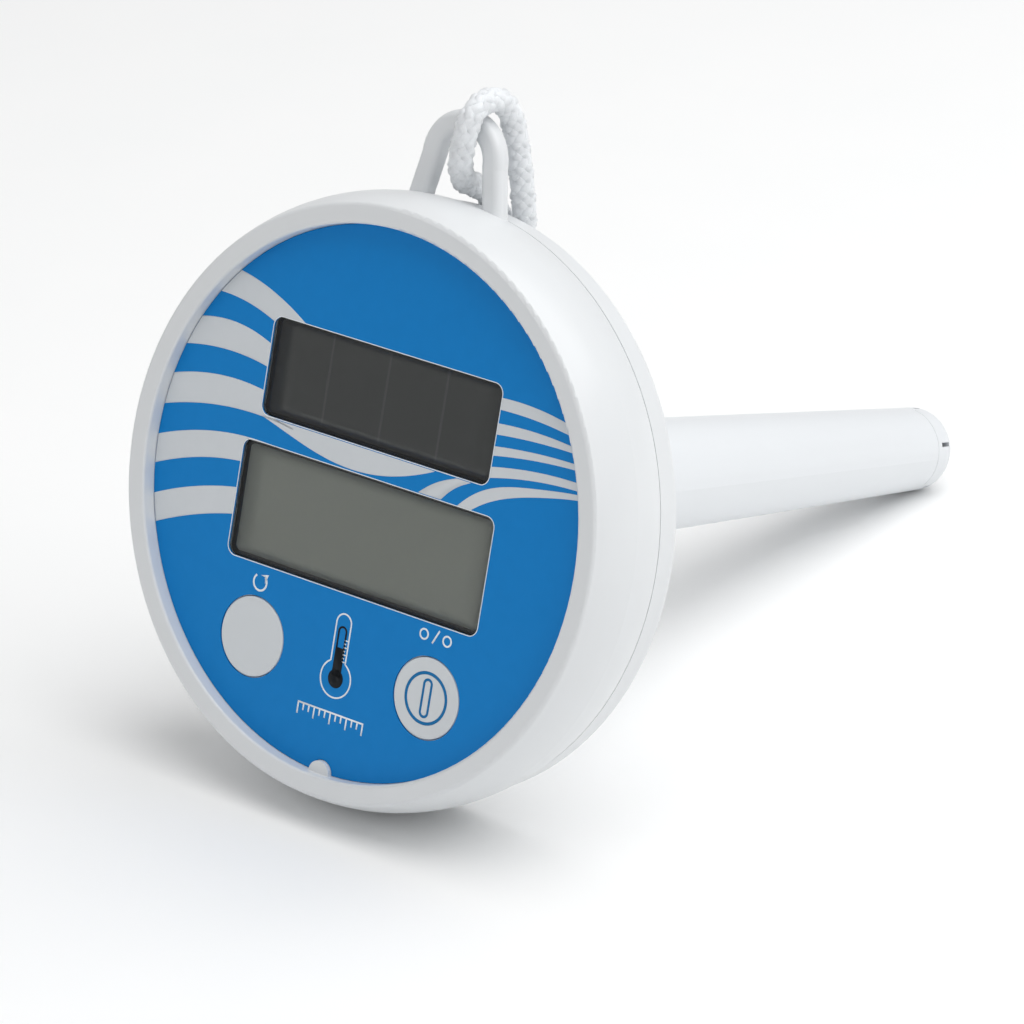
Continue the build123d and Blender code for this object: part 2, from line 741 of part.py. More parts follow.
with BuildPart() as cell_contacts:
    strip_top = coin_cell_height + contact_strip[2]
    slabs([contact_pin_place], contact_strip[:2], strip_top, coin_cell_height)
    columns([contact_pin_place], contact_pin_radius, board_bottom, strip_top)
    slabs([blade_place], (blade_thickness, blade_width), board_bottom, blade_bottom)
finish(cell_contacts, "cell_contacts")

with BuildPart() as battery_cap:
    flange_face = cap_seat - cap_face_gap
    columns([cell_place], cap_radius, flange_face, back_height)
    spigot_end = lug_groove_top - lug_float
    columns([cell_place], chamber_bore_radius - cap_clearance, spigot_end, flange_face)
    with BuildSketch(level(spigot_end)) as lugs:
        with Locations(cell_place):
            Circle(lug_radius)
            Rectangle(lug_width, 2 * lug_radius, mode=Mode.INTERSECT)
    extrude(lugs.sketch, amount=-lug_thickness)
    with BuildSketch(level(flange_face)) as seal_groove:
        with Locations(cell_place):
            Circle(cap_seal_radius + cap_seal_section)
            Circle(cap_seal_radius - cap_seal_section, mode=Mode.SUBTRACT)
    extrude(seal_groove.sketch, amount=-2 * cap_seal_section, mode=Mode.SUBTRACT)
    slabs([cell_place], coin_slot[:2], back_height + coin_slot[2], back_height, mode=Mode.SUBTRACT)
    with BuildSketch(level(back_height + cap_arrow_depth)) as arrow:
        with Locations((cell_place[0], cell_place[1] + cap_radius - cap_arrow_inset)):
            RegularPolygon(cap_arrow_radius, 3, rotation=90)
    extrude(arrow.sketch, amount=-cap_arrow_depth, mode=Mode.SUBTRACT)
finish(battery_cap, "battery_cap")

with BuildPart() as battery_cap_seal:
    seal_ring(cell_place, cap_seal_radius, cap_seal_section - seal_gap, flange_face - cap_seal_section)
finish(battery_cap_seal, "battery_cap_seal")


# ================================================================= tether rope
for name, points in (("tether_loop", loop_points), ("tether_tail", tail_points), ("tether_end", end_points)):
    with BuildPart() as rope:
        rope_tube(points)
    finish(rope, name)

with BuildPart() as tether_coil:
    with BuildSketch(Plane(origin=(*coil_centre, 0), x_dir=(1, 0, 0), z_dir=(0, -1, 0))):
        with Locations((coil_radius, coil_height / 2)):
            RectangleRounded(coil_width, coil_height, coil_corner)
    revolve(axis=Axis((*coil_centre, 0), (0, 0, 1)))
finish(tether_coil, "tether_coil")

for name, centre, radius in (
    ("tether_knot", knot_centre, knot_radius),
    ("tether_end_knot", end_knot_centre, end_knot_radius),
):
    with BuildPart(Plane(origin=centre)) as knot:
        Sphere(radius)
    finish(knot, name)
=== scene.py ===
from math import cos, radians, sin

import bmesh
import bpy
import numpy as np
from mathutils import Matrix
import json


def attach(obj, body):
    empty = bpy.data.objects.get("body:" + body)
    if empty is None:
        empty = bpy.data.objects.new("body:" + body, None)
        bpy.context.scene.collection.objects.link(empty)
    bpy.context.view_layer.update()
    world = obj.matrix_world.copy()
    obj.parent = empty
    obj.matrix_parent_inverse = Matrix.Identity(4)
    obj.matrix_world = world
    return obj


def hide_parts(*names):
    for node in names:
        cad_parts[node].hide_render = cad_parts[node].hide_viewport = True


# A floating pool thermometer that lies on a pale table, on the edge of its head and the end of its
# probe. Lengths are metres, apart from what is drawn on the printed face, which is in millimetres.

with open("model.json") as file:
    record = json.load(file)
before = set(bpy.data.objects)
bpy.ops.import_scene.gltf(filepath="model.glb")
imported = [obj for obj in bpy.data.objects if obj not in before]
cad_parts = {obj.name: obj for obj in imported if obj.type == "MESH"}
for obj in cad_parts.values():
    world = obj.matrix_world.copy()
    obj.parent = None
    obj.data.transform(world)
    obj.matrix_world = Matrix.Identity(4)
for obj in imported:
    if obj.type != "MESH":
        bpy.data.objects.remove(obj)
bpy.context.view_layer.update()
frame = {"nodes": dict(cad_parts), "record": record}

MM = 0.001
FULL_TURN = 2 * np.pi

# ------------------------------------------------------------------ where the face lies
tilt = radians(16.443)
face_origin = np.array([0.0, -0.073155, 0.054204])
face_right = np.array([1.0, 0.0, 0.0])
face_up = np.array([0.0, sin(tilt), cos(tilt)])
face_out = np.array([0.0, -cos(tilt), sin(tilt)])

label_radius = 47.0
display_centre = (0.0, -5.5)
display_opening = (55.6, 20.5)
solar_centre = (0.0, 18.1)
solar_opening = (50.3, 17.3)
opening_corner = 1.8
reset_place = (-19.5, -28.4)
unit_place = (19.5, -28.4)
film_edge_gap = 0.03            # bare label between a wave and an opening or the rim
film_thickness = 0.03

# ------------------------------------------------------------------ the tether's route
rope_diameter = 0.0042
loop_route = [
    (0.0028, -0.0368, 0.0854),
    (0.0014, -0.0353, 0.0898),
    (0.0000, -0.0360, 0.0952),
    (-0.0010, -0.0393, 0.1005),
    (-0.0004, -0.0446, 0.1029),
    (0.0016, -0.0480, 0.1075),
    (0.0028, -0.0478, 0.1128),
    (0.0033, -0.0467, 0.1165),
    (0.0038, -0.0433, 0.1183),
    (0.0043, -0.0396, 0.1172),
    (0.0048, -0.0377, 0.1138),
    (0.0052, -0.0369, 0.1077),
    (0.0054, -0.0361, 0.1000),
    (0.0050, -0.0354, 0.0923),
    (0.0036, -0.0362, 0.0862),
]
tail_route = [
    (0.0006, -0.0346, 0.0810),
    (-0.0038, -0.0324, 0.0710),
    (-0.0096, -0.0292, 0.0596),
    (-0.0154, -0.0254, 0.0472),
    (-0.0192, -0.0206, 0.0330),
    (-0.0206, -0.0158, 0.0200),
    (-0.0196, -0.0092, 0.0098),
    (-0.0176, 0.0008, 0.0036),
]
end_route = [
    (-0.0524, 0.0225, 0.0022),
    (-0.0596, 0.0154, 0.0022),
    (-0.0597, 0.0051, 0.0023),
    (-0.0525, -0.0023, 0.0029),
    (-0.0466, -0.0026, 0.0039),
]
coil_centre = (-0.0470, 0.0026)
coil_outer_radius = 0.0299
coil_inner_radius = 0.0201
coil_turns = 2.25
points_per_turn = 16
coil_height = 0.00215
knot_centre = (0.0018, -0.0352, 0.0834)
end_knot_centre = (-0.0430, -0.0027, 0.0049)


# ================================================================== small tools
def linear(code):
    """The linear colour of an sRGB hex value."""
    value = np.array([int(code[i:i + 2], 16) for i in (1, 3, 5)]) / 255
    value = np.where(value <= 0.04045, value / 12.92, ((value + 0.055) / 1.055) ** 2.4)
    return (*value, 1.0)


def per_mm(size):
    """The scale at which a pattern repeats every size millimetres in Object coordinates."""
    return 1 / (size * MM)


def on_face(x, y, height):
    """Points in metres from places on the face and heights above it, all in millimetres: the
    face's origin, plus x to the right, y up the face and the height out of it."""
    x, y, height = np.broadcast_arrays(x, y, height)
    place = x[..., None] * face_right + y[..., None] * face_up + height[..., None] * face_out
    return face_origin + MM * place


def add(tree, kind, inputs=None, **settings):
    """Adds a node, sets what it is, then fills its inputs with values or links."""
    made = tree.nodes.new(kind)
    for name, value in settings.items():
        setattr(made, name, value)
    for socket, value in (inputs or {}).items():
        if isinstance(value, bpy.types.NodeSocket):
            tree.links.new(value, made.inputs[socket])
        else:
            made.inputs[socket].default_value = value
    return made


def finish_of(name, **settings):
    """A new material and its tree, with constants set straight on its shader's sockets."""
    material = bpy.data.materials.new(name)
    material.use_nodes = True
    tree = material.node_tree
    shader = tree.nodes["Principled BSDF"]
    for socket, value in settings.items():
        shader.inputs[socket.replace("_", " ")].default_value = value
    return material, tree, shader


def grid_quads(rows, columns, round_rows, round_columns):
    """Corner numbers of a grid's quads; a round side joins its last line to its first."""
    i = np.arange(rows if round_rows else rows - 1)[:, None]
    j = np.arange(columns if round_columns else columns - 1)[None, :]
    after_i = (i + 1) % rows
    after_j = (j + 1) % columns
    corners = [
        i * columns + j,
        i * columns + after_j,
        after_i * columns + after_j,
        after_i * columns + j,
    ]
    return np.stack(np.broadcast_arrays(*corners), axis=-1).reshape(-1, 4)


def grid_uv(rows, columns, round_rows, round_columns, along, around):
    """Corner places of a grid's quads on an unrolled sheet of the given length and width."""
    i = np.arange(rows if round_rows else rows - 1)[:, None]
    j = np.arange(columns if round_columns else columns - 1)[None, :]
    u = np.stack(np.broadcast_arrays(j, j + 1, j + 1, j) + np.zeros((4, len(i), 1)), axis=-1)
    v = np.stack(np.broadcast_arrays(i, i, i + 1, i + 1) + np.zeros((4, 1, j.shape[1])), axis=-1)
    return np.stack([u * around / j.shape[1], v * along / len(i)], axis=-1).reshape(-1, 2)


def piece(name, parts, material, body, replaced=(), smooth=True):
    """One object from (points, quads, uv) parts, welded, with its faces turned outwards."""
    shift = np.cumsum([0] + [len(points) for points, quads, uv in parts])
    points = np.concatenate([part[0] for part in parts])
    quads = np.concatenate([part[1] + start for part, start in zip(parts, shift)])
    uv = np.concatenate([part[2] for part in parts])
    mesh = bpy.data.meshes.new(name)
    mesh.vertices.add(len(points))
    mesh.vertices.foreach_set("co", points.ravel())
    mesh.loops.add(quads.size)
    mesh.loops.foreach_set("vertex_index", quads.ravel())
    mesh.polygons.add(len(quads))
    mesh.polygons.foreach_set("loop_start", np.arange(len(quads)) * 4)
    mesh.uv_layers.new(name="UVMap")
    mesh.uv_layers[0].data.foreach_set("uv", uv.ravel())
    mesh.update(calc_edges=True)
    shape = bmesh.new()
    shape.from_mesh(mesh)
    bmesh.ops.remove_doubles(shape, verts=shape.verts, dist=1e-7)
    bmesh.ops.recalc_face_normals(shape, faces=shape.faces)
    shape.to_mesh(mesh)
    shape.free()
    if smooth:
        mesh.shade_smooth()
    mesh.materials.append(material)
    made = bpy.data.objects.new(name, mesh)
    bpy.context.scene.collection.objects.link(made)
    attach(made, body)
    if replaced:
        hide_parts(*replaced)
    return made


# ================================================================== materials
def moulded_plastic(name, colours, roughness, grain_mm):
    """Injection-moulded resin: an even colour that drifts a little with the melt's flow, and a
    skin with the faint orange peel of a polished mould. The grain is its size in millimetres."""
    material, tree, shader = finish_of(name, IOR=1.53)
    place = add(tree, "ShaderNodeTexCoord").outputs["Object"]
    flow = add(tree, "ShaderNodeTexNoise", {"Vector": place, "Scale": per_mm(40), "Detail": 3.0})
    shade = add(
        tree,
        "ShaderNodeMix",
        {"Factor": flow.outputs["Fac"], "A": linear(colours[0]), "B": linear(colours[1])},
        data_type="RGBA",
    )
    tree.links.new(shade.outputs[2], shader.inputs["Base Color"])
    wear = add(tree, "ShaderNodeTexNoise", {"Vector": place, "Scale": per_mm(18), "Detail": 2.0})
    worn = {"From Min": 0.35, "From Max": 0.7, "To Min": roughness[0], "To Max": roughness[1]}
    gloss = add(tree, "ShaderNodeMapRange", {"Value": wear.outputs["Fac"], **worn})
    tree.links.new(gloss.outputs["Result"], shader.inputs["Roughness"])
    peel = add(tree, "ShaderNodeTexNoise", {"Vector": place, "Scale": per_mm(grain_mm), "Detail": 2.0})
    bump = add(
        tree,
        "ShaderNodeBump",
        {"Height": peel.outputs["Fac"], "Strength": 0.1, "Distance": 0.02 * MM},
    )
    tree.links.new(bump.outputs["Normal"], shader.inputs["Normal"])
    return material


# White ABS, moulded in a polished tool: satin, slightly cool, with soft broad highlights.
housing_white = moulded_plastic("white moulded ABS", ("#E1E3E5", "#DDE0E2"), (0.30, 0.35), 1.2)
# White polypropylene, moulded: a touch whiter and more waxy than the housing.
probe_white = moulded_plastic(
    "white moulded polypropylene", ("#E6E9EC", "#E2E5E8"), (0.32, 0.37), 1.6
)
# Pale grey silicone rubber: dull, with a dusting of fine mould texture.
key_grey = moulded_plastic("pale grey silicone rubber", ("#D8DCDF", "#D1D6DA"), (0.48, 0.60), 0.5)
# Black ABS with a sparked mould texture, which keeps it from shining.
black_abs = moulded_plastic("black textured ABS", ("#0B0B0C", "#101113"), (0.45, 0.6), 0.35)
# Black nitrile rubber: dull and slightly greyed by talc.
nitrile = moulded_plastic("black nitrile rubber", ("#151517", "#1E1E20"), (0.62, 0.8), 0.4)
# Grey PVC cable jacket: extruded, with a soft shine.
cable_grey = moulded_plastic("grey PVC jacket", ("#54575A", "#4C4F52"), (0.4, 0.52), 0.7)
# Black moulded epoxy: fine glass filler gives it a dull grain.
epoxy = moulded_plastic("black filled epoxy", ("#121214", "#1A1A1D"), (0.5, 0.66), 0.25)


def printed_film(name, colours):
    """Screen-printed film: flat ink with the faint mottle of the mesh, under a velvet lacquer. The
    lacquer's own grain is finer, and is drawn 0.35 mm apart so that it shows."""
    material, tree, shader = finish_of(name, IOR=1.5, Specular_IOR_Level=0.2)
    place = add(tree, "ShaderNodeTexCoord").outputs["Object"]
    mesh_marks = {"Vector": place, "Scale": per_mm(2.4), "Detail": 5.0, "Roughness": 0.6}
    mottle = add(tree, "ShaderNodeTexNoise", mesh_marks)
    shade = add(
        tree,
        "ShaderNodeMix",
        {"Factor": mottle.outputs["Fac"], "A": linear(colours[0]), "B": linear(colours[1])},
        data_type="RGBA",
    )
    tree.links.new(shade.outputs[2], shader.inputs["Base Color"])
    span = {"From Min": 0.3, "From Max": 0.7, "To Min": 0.42, "To Max": 0.52}
    gloss = add(tree, "ShaderNodeMapRange", {"Value": mottle.outputs["Fac"], **span})
    tree.links.new(gloss.outputs["Result"], shader.inputs["Roughness"])
    velvet = add(tree, "ShaderNodeTexVoronoi", {"Vector": place, "Scale": per_mm(0.35)})
    bump = add(
        tree,
        "ShaderNodeBump",
        {"Height": velvet.outputs["Distance"], "Strength": 0.12, "Distance": 0.01 * MM},
    )
    tree.links.new(bump.outputs["Normal"], shader.inputs["Normal"])
    return material


# Polyester overlay printed blue, and the inks laid on it.
label_blue = printed_film("blue printed polyester film", ("#0080CB", "#007BC4"))
wave_ink = printed_film("pale grey screen ink", ("#D6DADE", "#D0D5D9"))
line_ink = printed_film("white screen ink", ("#F2F6F9", "#E9EFF3"))
navy_ink = printed_film("dark navy screen ink", ("#10161D", "#0C1116"))
key_ink = printed_film("blue pad-printed ink", ("#1173AE", "#0F6CA5"))


def clear_window():
    """Clear polycarbonate: see-through with a hard coat, and only the faintest handling marks."""
    material, tree, shader = finish_of(
        "clear polycarbonate", Base_Color=linear("#F4F7F6"), IOR=1.42, Transmission_Weight=1.0
    )
    place = add(tree, "ShaderNodeTexCoord").outputs["Object"]
    marks = add(tree, "ShaderNodeTexNoise", {"Vector": place, "Scale": per_mm(6), "Detail": 8.0})
    span = {"From Min": 0.4, "From Max": 0.75, "To Min": 0.02, "To Max": 0.07}
    gloss = add(tree, "ShaderNodeMapRange", {"Value": marks.outputs["Fac"], **span})
    tree.links.new(gloss.outputs["Result"], shader.inputs["Roughness"])
    return material


def display_glass():
    """Liquid crystal glass at rest: an olive grey polariser with a fine rolled grain."""
    material, tree, shader = finish_of("olive grey liquid crystal glass", IOR=1.52)
    place = add(tree, "ShaderNodeTexCoord").outputs["Object"]
    cloud = add(tree, "ShaderNodeTexNoise", {"Vector": place, "Scale": per_mm(30), "Detail": 2.0})
    shade = add(
        tree,
        "ShaderNodeMix",
        {"Factor": cloud.outputs["Fac"], "A": linear("#A4A59E"), "B": linear("#9E9F97")},
        data_type="RGBA",
    )
    tree.links.new(shade.outputs[2], shader.inputs["Base Color"])
    drawn = add(tree, "ShaderNodeMapping", {"Vector": place, "Scale": (1.0, 12.0, 12.0)})
    rolled = {"Vector": drawn.outputs["Vector"], "Scale": per_mm(4), "Detail": 4.0}
    grain = add(tree, "ShaderNodeTexNoise", rolled)
    span = {"Value": grain.outputs["Fac"], "To Min": 0.32, "To Max": 0.42}
    gloss = add(tree, "ShaderNodeMapRange", span)
    tree.links.new(gloss.outputs["Result"], shader.inputs["Roughness"])
    return material


def solar_glass():
    """Amorphous silicon on glass: four dark cells side by side, parted by fine scribed lines."""
    cell_width = solar_opening[0] / 4 * MM
    line_share = 0.35 * MM / cell_width
    material, tree, shader = finish_of("dark amorphous silicon", IOR=1.6)
    place = add(tree, "ShaderNodeTexCoord").outputs["Object"]
    across = add(tree, "ShaderNodeSeparateXYZ", {"Vector": place}).outputs["X"]
    steps = add(tree, "ShaderNodeMath", {0: across, 1: cell_width}, operation="DIVIDE")
    within = add(tree, "ShaderNodeMath", {0: steps.outputs[0], 1: 0.5, 2: 0.0}, operation="PINGPONG")
    edge = {"From Min": line_share, "From Max": 0.3 * line_share, "To Min": 0.0, "To Max": 1.0}
    line = add(tree, "ShaderNodeMapRange", {"Value": within.outputs[0], **edge})
    cloud = add(tree, "ShaderNodeTexNoise", {"Vector": place, "Scale": per_mm(12), "Detail": 4.0})
    cell = add(
        tree,
        "ShaderNodeMix",
        {"Factor": cloud.outputs["Fac"], "A": linear("#242425"), "B": linear("#1F1F20")},
        data_type="RGBA",
    )
    scribed = add(
        tree,
        "ShaderNodeMix",
        {"Factor": line.outputs["Result"], "A": cell.outputs[2], "B": linear("#3C3C3E")},
        data_type="RGBA",
    )
    tree.links.new(scribed.outputs[2], shader.inputs["Base Color"])
    span = {"Value": cloud.outputs["Fac"], "To Min": 0.26, "To Max": 0.4}
    gloss = add(tree, "ShaderNodeMapRange", span)
    tree.links.new(gloss.outputs["Result"], shader.inputs["Roughness"])
    return material


def bare_metal(name, colours, roughness, grain_mm, metallic=1.0):
    """Bare or plated metal: its own colour, with streaks of handling and a fine worked grain."""
    material, tree, shader = finish_of(name, Metallic=metallic)
    place = add(tree, "ShaderNodeTexCoord").outputs["Object"]
    stain = add(tree, "ShaderNodeTexNoise", {"Vector": place, "Scale": per_mm(5), "Detail": 6.0})
    worn = {"From Min": 0.3, "From Max": 0.7, "To Min": roughness[0], "To Max": roughness[1]}
    shade = add(
        tree,
        "ShaderNodeMix",
        {"Factor": stain.outputs["Fac"], "A": linear(colours[0]), "B": linear(colours[1])},
        data_type="RGBA",
    )
    tree.links.new(shade.outputs[2], shader.inputs["Base Color"])
    gloss = add(tree, "ShaderNodeMapRange", {"Value": stain.outputs["Fac"], **worn})
    tree.links.new(gloss.outputs["Result"], shader.inputs["Roughness"])
    grain = add(tree, "ShaderNodeTexNoise", {"Vector": place, "Scale": per_mm(grain_mm), "Detail": 3.0})
    bump = add(
        tree,
        "ShaderNodeBump",
        {"Height": grain.outputs["Fac"], "Strength": 0.25, "Distance": 0.02 * MM},
    )
    tree.links.new(bump.outputs["Normal"], shader.inputs["Normal"])
    return material


def board_laminate():
    """Glass-epoxy board under green solder mask: the weave shows through as a square grid, which
    is drawn several times coarser than the cloth's threads so that it shows."""
    material, tree, shader = finish_of("green masked board laminate", IOR=1.55)
    place = add(tree, "ShaderNodeTexCoord").outputs["Object"]
    threads = {"Vector": place, "Scale": per_mm(4), "Distortion": 0.6}
    along = add(tree, "ShaderNodeTexWave", threads, bands_direction="X")
    across = add(tree, "ShaderNodeTexWave", threads, bands_direction="Z")
    crossing = {0: along.outputs["Fac"], 1: across.outputs["Fac"]}
    weave = add(tree, "ShaderNodeMath", crossing, operation="MULTIPLY")
    shade = add(
        tree,
        "ShaderNodeMix",
        {"Factor": weave.outputs[0], "A": linear("#12572E"), "B": linear("#1B6B39")},
        data_type="RGBA",
    )
    tree.links.new(shade.outputs[2], shader.inputs["Base Color"])
    span = {"Value": weave.outputs[0], "To Min": 0.3, "To Max": 0.42}
    gloss = add(tree, "ShaderNodeMapRange", span)
    tree.links.new(gloss.outputs["Result"], shader.inputs["Roughness"])
    return material


def layered_silicone():
    """Contact strip: carbon and plain silicone in turn. The real layers are a fraction of a
    millimetre thick, and are drawn coarser so that they show."""
    material, tree, shader = finish_of("layered contact silicone", Roughness=0.6)
    place = add(tree, "ShaderNodeTexCoord").outputs["Object"]
    layering = {"Vector": place, "Scale": per_mm(1.6)}
    layers = add(tree, "ShaderNodeTexWave", layering, bands_direction="X")
    shade = add(
        tree,
        "ShaderNodeMix",
        {"Factor": layers.outputs["Fac"], "A": linear("#2A2527"), "B": linear("#D9B9BE")},
        data_type="RGBA",
    )
    tree.links.new(shade.outputs[2], shader.inputs["Base Color"])
    return material


def braided_yarn():
    """Spun polypropylene yarn in a braid: bright white filaments, drawn side by side along each
    strand, with a soft sheen where they turn."""
    material, tree, shader = finish_of(
        "white braided polypropylene", IOR=1.49, Sheen_Weight=0.35, Sheen_Roughness=0.5
    )
    unrolled = add(tree, "ShaderNodeTexCoord").outputs["UV"]
    laid = {"Vector": unrolled, "Rotation": (0.0, 0.0, radians(14)), "Scale": (9.0, 1.2, 1.0)}
    twist = add(tree, "ShaderNodeMapping", laid).outputs["Vector"]
    filaments = {"Vector": twist, "Scale": 2.2, "Detail": 4.0, "Roughness": 0.65}
    hairs = add(tree, "ShaderNodeTexNoise", filaments)
    shade = add(
        tree,
        "ShaderNodeMix",
        {"Factor": hairs.outputs["Fac"], "A": linear("#DDE1E5"), "B": linear("#F4F6F8")},
        data_type="RGBA",
    )
    tree.links.new(shade.outputs[2], shader.inputs["Base Color"])
    span = {"Value": hairs.outputs["Fac"], "To Min": 0.62, "To Max": 0.42}
    gloss = add(tree, "ShaderNodeMapRange", span)
    tree.links.new(gloss.outputs["Result"], shader.inputs["Roughness"])
    bump = add(
        tree,
        "ShaderNodeBump",
        {"Height": hairs.outputs["Fac"], "Strength": 0.5, "Distance": 0.08 * MM},
    )
    tree.links.new(bump.outputs["Normal"], shader.inputs["Normal"])
    return material


yarn = braided_yarn()
finishes = {
    "housing": housing_white,
    "probe": probe_white,
    "label": label_blue,
    "clear": clear_window(),
    "black_plastic": black_abs,
    "display": display_glass(),
    "solar": solar_glass(),
    "key": key_grey,
    "seal": nitrile,
    "strip": layered_silicone(),
    "board": board_laminate(),
    "chip": epoxy,
    "tinned": bare_metal("tinned copper", ("#C9CACB", "#B4B6B8"), (0.3, 0.45), 0.8),
    "steel": bare_metal("zinc plated steel", ("#B8BBBF", "#A3A7AC"), (0.25, 0.4), 0.5),
    "iron": bare_metal("raw cast iron", ("#55534F", "#6B5A4C"), (0.5, 0.75), 0.6, metallic=0.8),
    "lead": cable_grey,
    "brass": bare_metal("gold flashed brass", ("#D9B25F", "#C79C48"), (0.22, 0.36), 0.5),
    "cell": bare_metal("nickel plated can", ("#C4C2BD", "#B3B1AC"), (0.2, 0.34), 0.7),
    "rope": yarn,
}
for row in frame["record"]["subparts"]:
    node_mesh = frame["nodes"][row["node"]].data
    node_mesh.materials.clear()
    node_mesh.materials.append(finishes[row["material_slot"]])


# ================================================================== printed face
def rounded_distance(x, y, centre, size, corner):
    """How far places are outside a rectangle with round corners; negative inside."""
    reach_x = np.abs(x - centre[0]) - size[0] / 2 + corner
    reach_y = np.abs(y - centre[1]) - size[1] / 2 + corner
    outside = np.hypot(np.maximum(reach_x, 0), np.maximum(reach_y, 0))
    return outside + np.minimum(np.maximum(reach_x, reach_y), 0) - corner


def film(grid, closed=False, low=0.0, high=film_thickness):
    """A thin layer over a (rows, columns) grid of places: the same grid at two heights, joined
    round its edge, where the end rows of an open layer close on themselves."""
    top = on_face(grid[..., 0], grid[..., 1], high)
    bottom = on_face(grid[..., 0], grid[..., 1], low)
    wrapped = np.concatenate([top, bottom[:, ::-1]], axis=1)
    if not closed:
        ends = np.concatenate([bottom, bottom[:, ::-1]], axis=1)
        wrapped = np.concatenate([ends[:1], wrapped, ends[-1:]])
    rows, columns = wrapped.shape[:2]
    quads = grid_quads(rows, columns, closed, True)
    uv = grid_uv(rows, columns, closed, True, 1.0, 1.0)
    return wrapped.reshape(-1, 3), quads, uv


def stroke(line, width, closed=False):
    """A flat line of ink: each place of the line moved half a width to either side, square to
    the line's direction there."""
    line = np.asarray(line, float)
    if closed:
        ahead = np.roll(line, -1, axis=0) - np.roll(line, 1, axis=0)
    else:
        ahead = np.gradient(line, axis=0)
    ahead /= np.linalg.norm(ahead, axis=1, keepdims=True)
    aside = np.stack([-ahead[:, 1], ahead[:, 0]], axis=1) * width / 2
    return np.stack([line - aside, line + aside], axis=1)


def arc(centre, radius, start, end, count):
    """Places along an arc: the centre, plus the radius along the cosine and the sine of angles
    that run evenly from start to end, in degrees."""
    turn = np.radians(np.linspace(start, end, count))
    return np.stack([centre[0] + radius * np.cos(turn), centre[1] + radius * np.sin(turn)], axis=1)


def capsule(centre, width, height, count=20):
    """The outline of an upright capsule: two half circles joined by straight sides."""
    radius = width / 2
    rise = height / 2 - radius
    upper = arc((centre[0], centre[1] + rise), radius, 0, 180, count)
    lower = arc((centre[0], centre[1] - rise), radius, 180, 360, count)
    side = np.linspace(0, 1, 12)[1:-1, None]
    left = upper[-1] + side * (lower[0] - upper[-1])
    right = lower[-1] + side * (upper[0] - lower[-1])
    return np.concatenate([upper, left, lower, right])


def rounded_outline(centre, size, corner, count=10):
    """Places round a rectangle with round corners, anticlockwise from its right side."""
    half_x, half_y = size[0] / 2 - corner, size[1] / 2 - corner
    places = []
    for quarter, (right, up) in enumerate(((1, 1), (-1, 1), (-1, -1), (1, -1))):
        place = (centre[0] + right * half_x, centre[1] + up * half_y)
        places.append(arc(place, corner, 90 * quarter, 90 * quarter + 90, count))
    return np.concatenate(places)


def plate(centre, size, corner):
    """A grid over a rectangle with round corners: its outline drawn in towards its middle."""
    share = np.linspace(0, 1, 6)[None, :, None]
    middle = np.array(centre)
    return middle + (rounded_outline(centre, size, corner)[:, None] - middle) * share


def ink(line, width, closed=False):
    """A printed line of one width."""
    return film(stroke(line, width, closed), closed)


def wave(upper, lower, span):
    """A printed wave between two curves, each a polynomial through its own few places. Every line
    of the wave runs on until it meets the rim of the label or an opening in it."""
    x = np.linspace(span[0], span[1], 900)
    edges = []
    for places in (upper, lower):
        places = np.array(places, float)
        edges.append(np.polyval(np.polyfit(places[:, 0], places[:, 1], len(places) - 1), x))
    share = np.linspace(0, 1, 15)[:, None]
    y = edges[0] * (1 - share) + edges[1] * share
    free = np.hypot(x, y) < label_radius - film_edge_gap
    free &= rounded_distance(x, y, solar_centre, solar_opening, opening_corner) > film_edge_gap
    free &= rounded_distance(x, y, display_centre, display_opening, opening_corner) > film_edge_gap
    started = np.maximum.accumulate(free, axis=1)
    run = started & ~np.maximum.accumulate(started & ~free, axis=1)
    first = np.argmax(run, axis=1)
    stop = len(x) - 1 - np.argmax(run[:, ::-1], axis=1)
    reach = np.linspace(0, 1, 80)[:, None]
    place = x[first] * (1 - reach) + x[stop] * reach
    height = np.stack([np.interp(place[:, k], x, y[k]) for k in range(len(share))], axis=1)
    return np.stack([place, height], axis=-1)


left_waves = [
    ([(-38.0, 32.8), (-26.1, 30.4), (-18.0, 26.6)], [(-40.0, 27.8), (-31.2, 27.3), (-25.0, 25.5)]),
    ([(-42.5, 22.4), (-32.7, 23.4), (-25.0, 21.6)], [(-45.0, 17.0), (-34.0, 18.4), (-25.0, 17.6)]),
    ([(-47.0, 11.2), (-35.0, 13.8), (-25.0, 13.5)], [(-47.4, 5.7), (-35.5, 8.5), (-24.8, 9.1)]),
    ([(-47.4, 0.3), (-36.8, 3.6), (-27.8, 4.8)], [(-47.4, -4.9), (-37.0, -1.2), (-27.8, 0.4)]),
    ([(-47.0, -10.3), (-37.1, -6.4), (-27.8, -4.2)], [(-45.5, -15.0), (-36.2, -11.2), (-27.8, -8.9)]),
]
right_waves = [
    ([(25.0, 24.6), (32.5, 24.6), (41.0, 23.3)], [(25.0, 22.6), (33.0, 22.6), (42.0, 21.6)]),
    ([(25.0, 20.3), (33.0, 20.7), (42.5, 20.1)], [(25.0, 18.4), (33.0, 19.1), (43.5, 19.2)]),
    ([(25.0, 16.4), (33.0, 17.3), (44.0, 17.6)], [(25.0, 14.8), (33.0, 16.0), (44.5, 16.7)]),
    ([(25.0, 12.9), (33.0, 14.2), (45.0, 14.7)], [(25.0, 11.0), (33.0, 12.6), (45.5, 13.4)]),
]
